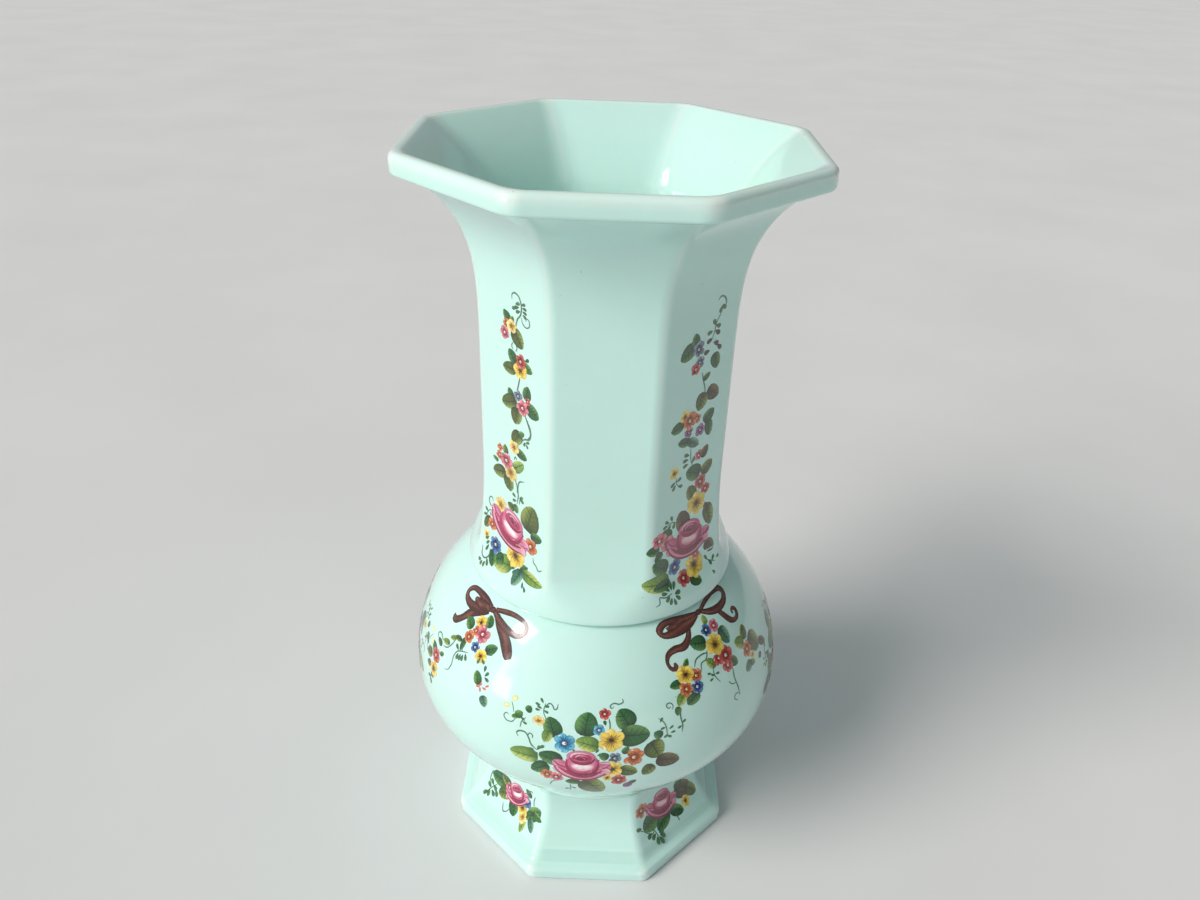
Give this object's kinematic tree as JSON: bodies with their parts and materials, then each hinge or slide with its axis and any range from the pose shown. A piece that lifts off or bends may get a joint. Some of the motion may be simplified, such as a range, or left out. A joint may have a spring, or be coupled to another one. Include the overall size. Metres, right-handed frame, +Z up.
{
  "type": "porcelain vase",
  "caption": "Tall octagonal porcelain vase with a flared lip, a straight facetted neck, a round bulb and a spreading octagonal foot, hollow and open at the top.",
  "frame": {"origin": "on the vase's axis, in the plane of the standing ring under the foot", "axes": "+Z up along the vase's axis from the foot to the lip; -Y and +X each point at the middle of a plain facet of the neck and foot"},
  "size_m": [0.1336, 0.1336, 0.26],
  "materials": {
    "glazed_porcelain": "gloss",
    "bare_porcelain": "matte",
    "leaf_enamel": "gloss",
    "rose_enamel": "gloss",
    "yellow_enamel": "gloss",
    "blue_enamel": "gloss",
    "red_enamel": "gloss",
    "ribbon_enamel": "gloss",
    "line_enamel": "gloss"
  },
  "bodies": {
    "root": {"neck": "glazed_porcelain", "bulb": "glazed_porcelain", "foot": "glazed_porcelain"}
  },
  "joints": []
}
